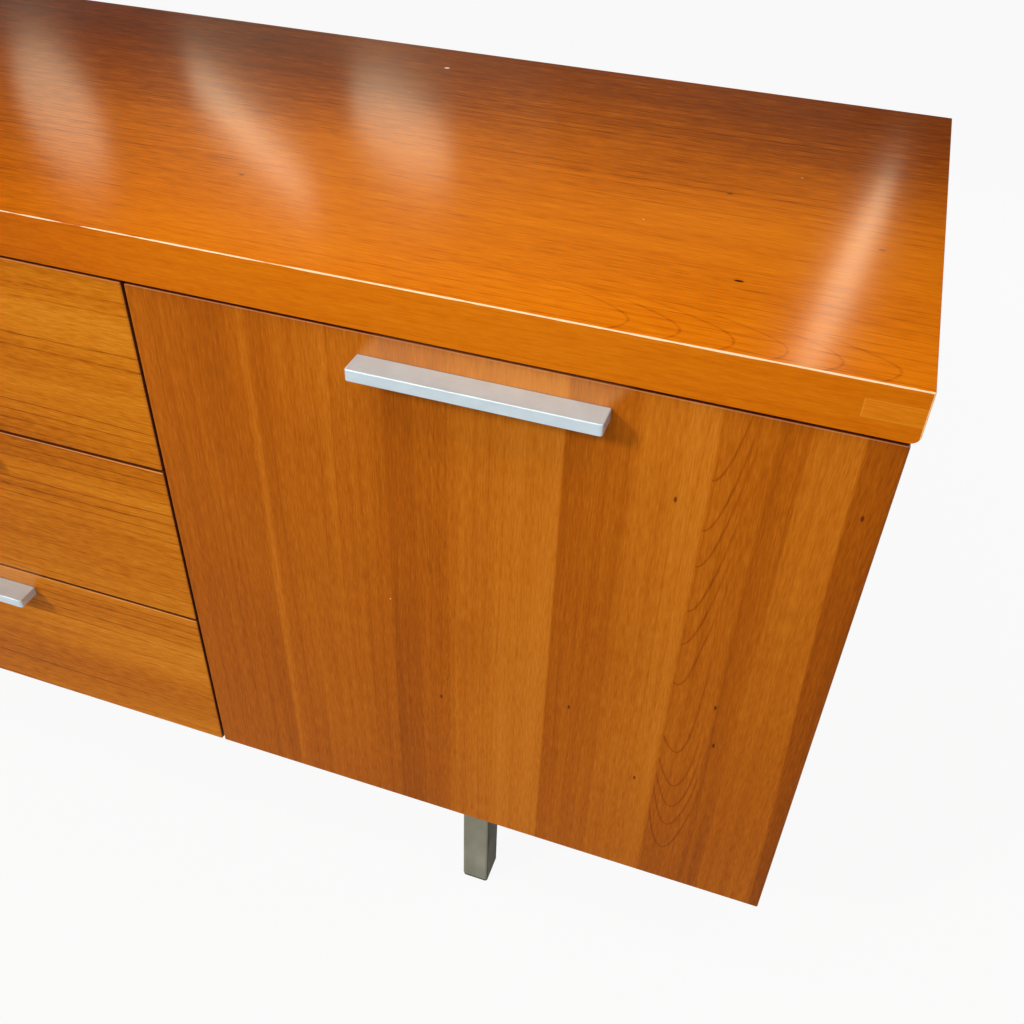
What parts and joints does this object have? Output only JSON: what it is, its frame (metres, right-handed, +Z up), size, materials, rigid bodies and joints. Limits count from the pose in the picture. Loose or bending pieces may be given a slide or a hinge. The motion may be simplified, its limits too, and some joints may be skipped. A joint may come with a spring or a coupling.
{
  "type": "sideboard",
  "caption": "Low cherry sideboard with a thick lipped top, side cupboards with swinging doors, a middle bank of drawers, bar handles and metal legs.",
  "frame": {"origin": "on the floor under the middle of the whole, handles included", "axes": "+X along the length to the right as seen from the front, +Y to the back, +Z up"},
  "size_m": [1.803, 0.5526, 0.762],
  "materials": {
    "cherry_top": "satin cherry veneer",
    "cherry_lipping": "satin solid cherry",
    "cherry_door": "satin cherry veneer, upright grain",
    "cherry_drawer": "satin cherry veneer, level grain",
    "cherry_side": "satin cherry veneer",
    "carcass_board": "satin cherry-faced board",
    "back_board": "cherry-faced board",
    "drawer_box_wood": "clear-lacquered birch",
    "beech_dowel": "plain beech",
    "aluminium": "satin anodised",
    "leg_paint": "satin grey paint",
    "glide_plastic": "black",
    "runner_steel": "zinc plated",
    "pivot_steel": "plated",
    "strike_steel": "plated",
    "screw_steel": "plated",
    "plated_pin": "nickel plated",
    "bush_nylon": "natural nylon",
    "catch_plastic": "brown"
  },
  "bodies": {
    "carcass": {"top_panel": "cherry_top", "top_front_lipping": "cherry_lipping", "top_back_lipping": "cherry_lipping", "top_end_lipping_right": "cherry_lipping", "top_end_lipping_left": "cherry_lipping", "side_panel_right": "cherry_side", "side_panel_left": "cherry_side", "partition_right": "carcass_board", "partition_left": "carcass_board", "bottom_panel": "carcass_board", "back_panel": "back_board", "carcass_dowels": "beech_dowel", "shelf_right": "carcass_board", "shelf_left": "carcass_board", "shelf_pins": "plated_pin", "upper_pivot_plates": "pivot_steel", "lower_pivot_plates": "pivot_steel", "magnetic_catches": "catch_plastic", "drawer_1_cabinet_runners": "runner_steel", "drawer_2_cabinet_runners": "runner_steel", "drawer_3_cabinet_runners": "runner_steel", "leg_front_right": "leg_paint", "leg_front_left": "leg_paint", "leg_rear_right": "leg_paint", "leg_rear_left": "leg_paint", "glides": "glide_plastic", "fixing_screws": "screw_steel"},
    "door_right": {"door_right": "cherry_door", "door_handle_right": "aluminium", "pivot_bushes_right": "bush_nylon", "strike_plate_right": "strike_steel"},
    "door_left": {"door_left": "cherry_door", "door_handle_left": "aluminium", "pivot_bushes_left": "bush_nylon", "strike_plate_left": "strike_steel"},
    "drawer_1": {"drawer_1_front": "cherry_drawer", "drawer_1_side_right": "drawer_box_wood", "drawer_1_side_left": "drawer_box_wood", "drawer_1_back": "drawer_box_wood", "drawer_1_bottom": "drawer_box_wood", "drawer_1_handle": "aluminium", "drawer_1_box_runners": "runner_steel"},
    "drawer_1_runner": {"drawer_1_middle_runners": "runner_steel"},
    "drawer_2": {"drawer_2_front": "cherry_drawer", "drawer_2_side_right": "drawer_box_wood", "drawer_2_side_left": "drawer_box_wood", "drawer_2_back": "drawer_box_wood", "drawer_2_bottom": "drawer_box_wood", "drawer_2_handle": "aluminium", "drawer_2_box_runners": "runner_steel"},
    "drawer_2_runner": {"drawer_2_middle_runners": "runner_steel"},
    "drawer_3": {"drawer_3_front": "cherry_drawer", "drawer_3_side_right": "drawer_box_wood", "drawer_3_side_left": "drawer_box_wood", "drawer_3_back": "drawer_box_wood", "drawer_3_bottom": "drawer_box_wood", "drawer_3_handle": "aluminium", "drawer_3_box_runners": "runner_steel"},
    "drawer_3_runner": {"drawer_3_middle_runners": "runner_steel"}
  },
  "joints": [
    {"name": "door_right_swing", "type": "hinge", "parent": "carcass", "child": "door_right", "pos_m": [0.8905, -0.24275, 0.436], "axis": [0, 0, 1], "range_deg": [0, 110]},
    {"name": "door_left_swing", "type": "hinge", "parent": "carcass", "child": "door_left", "pos_m": [-0.8905, -0.24275, 0.436], "axis": [0, 0, -1], "range_deg": [0, 110]},
    {"name": "drawer_1_slide", "type": "slide", "parent": "carcass", "child": "drawer_1", "axis": [0, -1, 0], "range_m": [0, 0.43]},
    {"name": "drawer_1_runner_slide", "type": "slide", "parent": "carcass", "child": "drawer_1_runner", "axis": [0, -1, 0], "range_m": [0, 0.215]},
    {"name": "drawer_2_slide", "type": "slide", "parent": "carcass", "child": "drawer_2", "axis": [0, -1, 0], "range_m": [0, 0.43]},
    {"name": "drawer_2_runner_slide", "type": "slide", "parent": "carcass", "child": "drawer_2_runner", "axis": [0, -1, 0], "range_m": [0, 0.215]},
    {"name": "drawer_3_slide", "type": "slide", "parent": "carcass", "child": "drawer_3", "axis": [0, -1, 0], "range_m": [0, 0.43]},
    {"name": "drawer_3_runner_slide", "type": "slide", "parent": "carcass", "child": "drawer_3_runner", "axis": [0, -1, 0], "range_m": [0, 0.215]}
  ],
  "couplings": [
    {"joint": "drawer_1_runner_slide", "follows": "drawer_1_slide", "ratio": 0.5},
    {"joint": "drawer_2_runner_slide", "follows": "drawer_2_slide", "ratio": 0.5},
    {"joint": "drawer_3_runner_slide", "follows": "drawer_3_slide", "ratio": 0.5}
  ]
}
